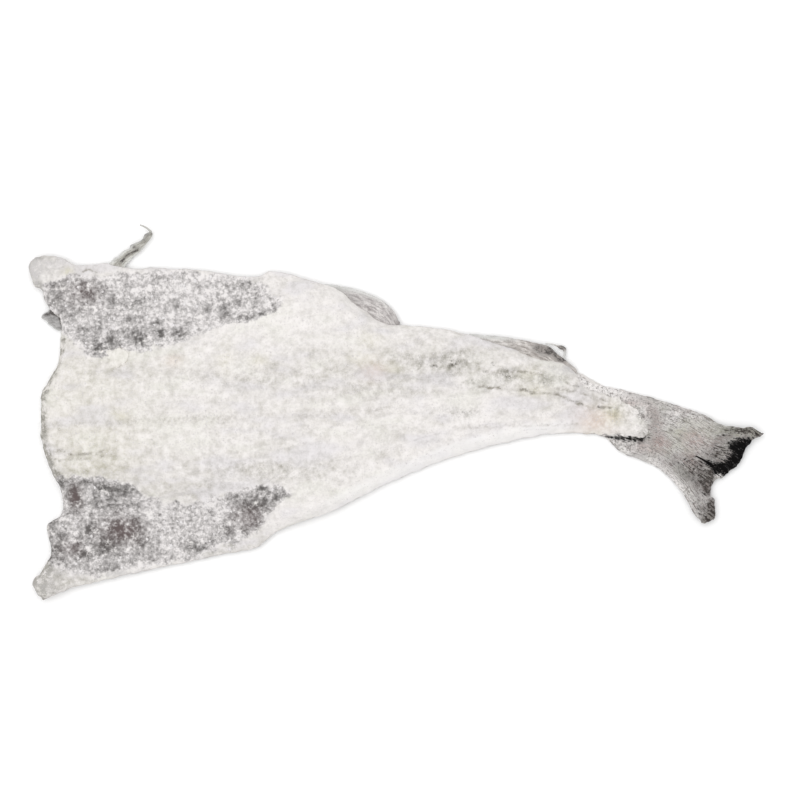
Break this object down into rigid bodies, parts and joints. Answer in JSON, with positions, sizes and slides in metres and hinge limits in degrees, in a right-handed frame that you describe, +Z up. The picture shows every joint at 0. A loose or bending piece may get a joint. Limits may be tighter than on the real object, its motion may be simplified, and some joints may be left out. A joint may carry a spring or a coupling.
{
  "type": "salted dried cod",
  "caption": "Whole headless cod split along the belly, opened flat, salted and dried, with its skin, tail and fins, lying flesh side up.",
  "frame": {"origin": "bottom centre of the fish: the middle of its length and breadth, on the surface that it lies on", "axes": "+X from the cut neck to the tail, +Y to the edge with the anal fins, +Z up out of the flesh"},
  "size_m": [0.6627, 0.3408, 0.0287],
  "materials": {
    "dried_flesh": "matt, dry and fibrous, powdered with salt",
    "belly_lining": "thin grey-black membrane under patchy salt, matt",
    "skin": "dry mottled grey-olive fish skin, faint sheen",
    "fin": "dry horny fin rays and membrane, faint sheen",
    "salt": "matt white crystals"
  },
  "bodies": {
    "root": {"cod": "dried_flesh"}
  },
  "joints": []
}
